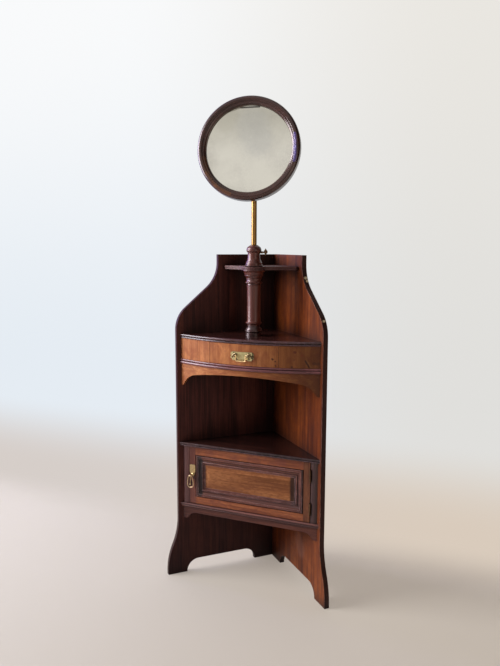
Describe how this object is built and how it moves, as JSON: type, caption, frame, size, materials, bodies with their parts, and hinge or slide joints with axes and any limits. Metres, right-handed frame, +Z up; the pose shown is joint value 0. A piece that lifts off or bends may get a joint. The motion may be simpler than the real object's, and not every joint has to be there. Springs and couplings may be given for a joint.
{
  "type": "corner shaving stand",
  "caption": "Three-sided corner stand with a bow-front drawer, a panelled cupboard and a round tilting mirror that slides up and down on a rod in a turned column.",
  "frame": {"origin": "floor level, under the middle of the whole stand's box", "axes": "+Z up, -Y out of the front, +X to the right when it is seen from the front"},
  "size_m": [0.5388, 0.3047, 1.4724],
  "materials": {
    "dark_mahogany": "dark old polish",
    "red_mahogany": "old polish",
    "honey_mahogany": "old polish",
    "inner_softwood": "unfinished",
    "old_brass": "aged",
    "polished_brass": "polished",
    "dark_bronze": "darkened",
    "steel": "dull",
    "silvered_glass": "old silvering"
  },
  "bodies": {
    "carcase": {"left_panel": "dark_mahogany", "right_panel": "red_mahogany", "corner_screws": "old_brass", "bow_shelf": "dark_mahogany", "frieze_left": "honey_mahogany", "frieze_right": "honey_mahogany", "drawer_board": "red_mahogany", "bow_apron": "honey_mahogany", "drawer_guide_left": "inner_softwood", "drawer_guide_right": "inner_softwood", "drawer_stop": "inner_softwood", "bracket_shelf": "red_mahogany", "column_shaft": "red_mahogany", "column_head": "red_mahogany", "rod_bush": "polished_brass", "screw_insert": "polished_brass", "lower_shelf": "dark_mahogany", "cupboard_post_left": "dark_mahogany", "cupboard_post_right": "dark_mahogany", "cupboard_floor": "dark_mahogany", "cupboard_apron": "dark_mahogany", "door_stop": "inner_softwood", "catch_plate": "old_brass", "post_hinge_leaves": "dark_bronze", "hinge_pins": "dark_bronze", "post_hinge_screws": "dark_bronze"},
    "drawer": {"drawer_front": "honey_mahogany", "drawer_side_left": "inner_softwood", "drawer_side_right": "inner_softwood", "drawer_back": "inner_softwood", "drawer_bottom": "inner_softwood", "drawer_plate": "old_brass", "drawer_posts": "old_brass", "handle_nuts": "old_brass"},
    "bail": {"drawer_bail": "old_brass"},
    "door": {"door_stile_left": "red_mahogany", "door_stile_right": "honey_mahogany", "door_rail_top": "honey_mahogany", "door_rail_bottom": "honey_mahogany", "door_panel": "honey_mahogany", "door_moulding": "red_mahogany", "door_hinge_leaves": "dark_bronze", "door_hinge_screws": "dark_bronze", "ball_catch": "old_brass", "drop_plate": "old_brass", "drop_post": "old_brass"},
    "loop": {"drop_loop": "old_brass"},
    "collar": {"rod_collar": "polished_brass"},
    "rod": {"mirror_rod": "polished_brass"},
    "mirror": {"mirror_frame": "dark_mahogany", "mirror_glass": "silvered_glass", "mirror_back": "inner_softwood", "back_brads": "steel", "mirror_bracket": "old_brass", "bracket_screws": "old_brass", "pivot_bolt": "old_brass", "pivot_nut": "old_brass"},
    "thumb": {"thumb_screw": "dark_bronze"}
  },
  "joints": [
    {"name": "drawer_slide", "type": "slide", "parent": "carcase", "child": "drawer", "axis": [0, -1, 0], "range_m": [0, 0.12]},
    {"name": "bail_swing", "type": "hinge", "parent": "drawer", "child": "bail", "pos_m": [0, -0.14835, 0.738], "axis": [-1, 0, 0], "range_deg": [-15, 100]},
    {"name": "door_swing", "type": "hinge", "parent": "carcase", "child": "door", "pos_m": [0.19842, -0.09288, 0.3335], "axis": [0, 0, 1], "range_deg": [0, 120]},
    {"name": "loop_swing", "type": "hinge", "parent": "door", "child": "loop", "pos_m": [-0.18772, -0.10789, 0.336], "axis": [-1, 0, 0], "range_deg": [-15, 100]},
    {"name": "rod_slide", "type": "slide", "parent": "carcase", "child": "collar", "axis": [0, 0, 1], "range_m": [-0.1, 0.13]},
    {"name": "rod_turn", "type": "hinge", "parent": "collar", "child": "rod", "pos_m": [0, -0.04636, 0.9], "axis": [0, 0, 1], "continuous": true},
    {"name": "mirror_tilt", "type": "hinge", "parent": "rod", "child": "mirror", "pos_m": [0, -0.04636, 1.317], "axis": [-0.9816, -0.1908, 0], "range_deg": [-15, 26]},
    {"name": "thumb_turn", "type": "hinge", "parent": "carcase", "child": "thumb", "pos_m": [0.02, -0.04636, 1.033], "axis": [1, 0, 0], "continuous": true}
  ]
}
